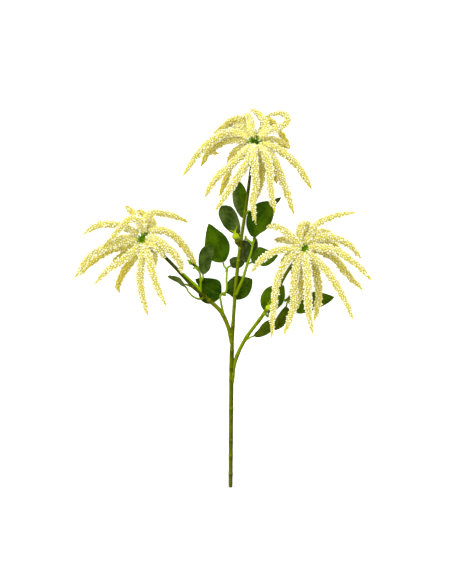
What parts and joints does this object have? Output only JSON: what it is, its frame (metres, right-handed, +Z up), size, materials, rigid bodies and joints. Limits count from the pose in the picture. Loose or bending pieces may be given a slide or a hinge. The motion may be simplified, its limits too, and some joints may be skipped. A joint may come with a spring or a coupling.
{
  "type": "amaranth seed head spray",
  "caption": "Cut spray of hanging amaranth lying on its back: heads of drooping rope-like cream catkins, dark ovate leaves and small green buds on a forked stem.",
  "frame": {"origin": "on the table, under the middle of the bounding box of the spray, which lies on its back", "axes": "+Y up the stem, from the cut end to the upper head; +X to the right, seen from above with the cut end nearest; +Z up from the table"},
  "size_m": [0.594, 0.764, 0.1324],
  "materials": {
    "stem": "satin green stem with pale scars",
    "catkin": "matt cream florets",
    "leaf": "waxy dark green",
    "bud": "satin yellow-green"
  },
  "bodies": {
    "root": {"stem": "stem", "head_top": "catkin", "head_left": "catkin", "head_right": "catkin", "leaf_inner_left": "leaf", "leaf_outer_left": "leaf", "leaf_low_left": "leaf", "leaf_behind_stem": "leaf", "leaf_upper_left": "leaf", "leaf_upper_back": "leaf", "leaf_upper_right": "leaf", "leaf_middle_back": "leaf", "leaf_edge_on": "leaf", "leaf_small_back": "leaf", "leaf_right": "leaf", "leaf_low_right": "leaf", "leaf_lowest": "leaf", "leaf_hanging": "leaf", "leaf_far_right": "leaf", "leaf_far_left": "leaf", "bud_middle": "bud", "bud_left": "bud", "bud_right": "bud"}
  },
  "joints": []
}
